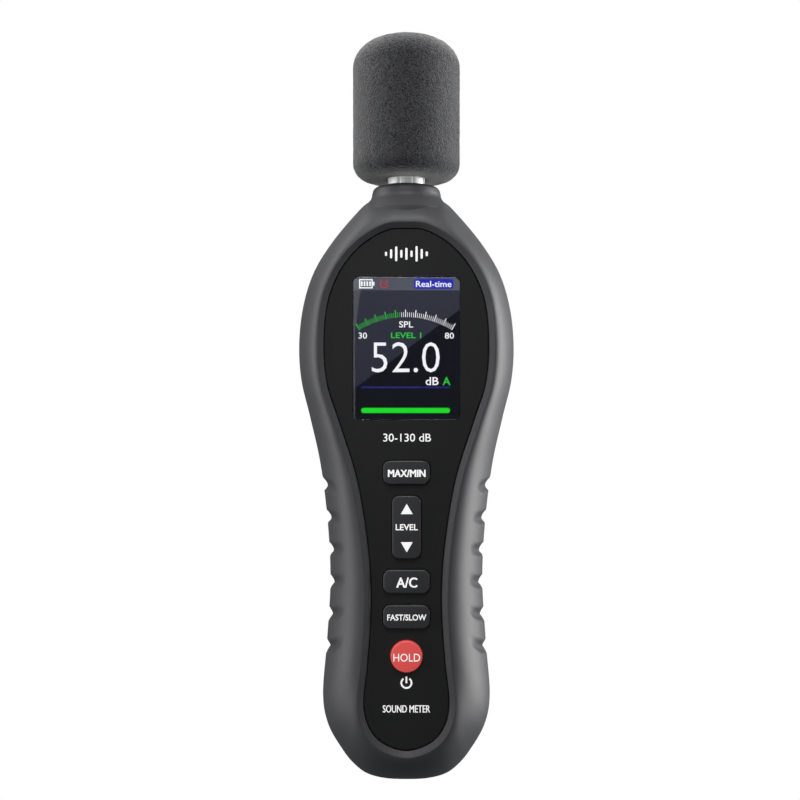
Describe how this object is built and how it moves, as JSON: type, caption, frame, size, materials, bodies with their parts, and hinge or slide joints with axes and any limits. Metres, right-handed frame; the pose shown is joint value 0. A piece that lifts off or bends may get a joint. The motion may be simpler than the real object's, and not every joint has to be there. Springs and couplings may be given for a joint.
{
  "type": "sound level meter",
  "caption": "Handheld sound level meter with a foam-covered microphone on a metal neck, a colour screen, push keys and a battery door in its back.",
  "frame": {"origin": "on the floor under the middle of the case, upright with the microphone at the top", "axes": "+Z along the meter towards the microphone, -Y out of the screen, +X to the right of the screen"},
  "size_m": [0.0638, 0.032, 0.2196],
  "materials": {
    "casing": "matt charcoal moulding",
    "face_plate": "fine matt",
    "window": "clear gloss",
    "screen": "gloss",
    "gasket": "foam rubber",
    "foam": "open cell foam",
    "key": "soft matt",
    "key_red": "soft matt",
    "steel": "turned",
    "tin": "tinned",
    "brass": "turned",
    "board": "solder mask",
    "black_plastic": "moulded",
    "rubber": "soft matt",
    "cell": "printed sleeve",
    "lead_red": "insulation",
    "lead_black": "insulation"
  },
  "bodies": {
    "case": {"front_housing": "casing", "rear_housing": "casing", "face_plate": "face_plate", "display_window": "window", "display_panel": "screen", "display_gasket": "gasket", "display_frame": "tin", "switch_max_min": "black_plastic", "switch_level_up": "black_plastic", "switch_level_down": "black_plastic", "switch_weighting": "black_plastic", "switch_response": "black_plastic", "switch_hold": "black_plastic", "main_board": "board", "processor_chip": "black_plastic", "buzzer": "black_plastic", "mic_tube": "steel", "mic_grommet": "rubber", "mic_capsule": "tin", "mic_grille": "steel", "mic_lead": "lead_black", "battery_cell_1": "cell", "battery_cell_2": "cell", "battery_cell_3": "cell", "battery_spring_1": "tin", "battery_spring_2": "tin", "battery_spring_3": "tin", "contact_negative": "tin", "contact_lower_bridge": "tin", "contact_upper_bridge": "tin", "contact_positive": "tin", "lead_negative": "lead_black", "lead_positive": "lead_red", "tripod_insert": "brass", "housing_screw_1": "steel", "housing_screw_2": "steel", "housing_screw_3": "steel", "housing_screw_4": "steel", "board_screw_1": "steel", "board_screw_2": "steel", "board_screw_3": "steel", "board_screw_4": "steel"},
    "windscreen": {"windscreen": "foam"},
    "key_max_min": {"key_max_min": "key"},
    "key_level": {"key_level": "key"},
    "key_weighting": {"key_weighting": "key"},
    "key_response": {"key_response": "key"},
    "key_hold": {"key_hold": "key_red"},
    "battery_door": {"battery_door": "casing"}
  },
  "joints": [
    {"name": "windscreen_pull", "type": "slide", "parent": "case", "child": "windscreen", "axis": [0, 0, 1], "range_m": [0, 0.035]},
    {"name": "key_max_min_press", "type": "slide", "parent": "case", "child": "key_max_min", "axis": [0, 1, 0], "range_m": [0, 0.0005], "stiffness_N_per_m": 1500, "springref_m": -0.0006},
    {"name": "key_level_rock", "type": "hinge", "parent": "case", "child": "key_level", "pos_m": [0, -0.0105, 0.07615], "axis": [1, 0, 0], "range_deg": [-2.5, 2.5], "stiffness_Nm_per_rad": 0.2},
    {"name": "key_weighting_press", "type": "slide", "parent": "case", "child": "key_weighting", "axis": [0, 1, 0], "range_m": [0, 0.0005], "stiffness_N_per_m": 1500, "springref_m": -0.0006},
    {"name": "key_response_press", "type": "slide", "parent": "case", "child": "key_response", "axis": [0, 1, 0], "range_m": [0, 0.0005], "stiffness_N_per_m": 1500, "springref_m": -0.0006},
    {"name": "key_hold_press", "type": "slide", "parent": "case", "child": "key_hold", "axis": [0, 1, 0], "range_m": [0, 0.0005], "stiffness_N_per_m": 1500, "springref_m": -0.0006},
    {"name": "battery_door_swing", "type": "hinge", "parent": "case", "child": "battery_door", "pos_m": [0, 0.016, 0.0208], "axis": [-1, 0, 0], "range_deg": [0, 75]}
  ]
}
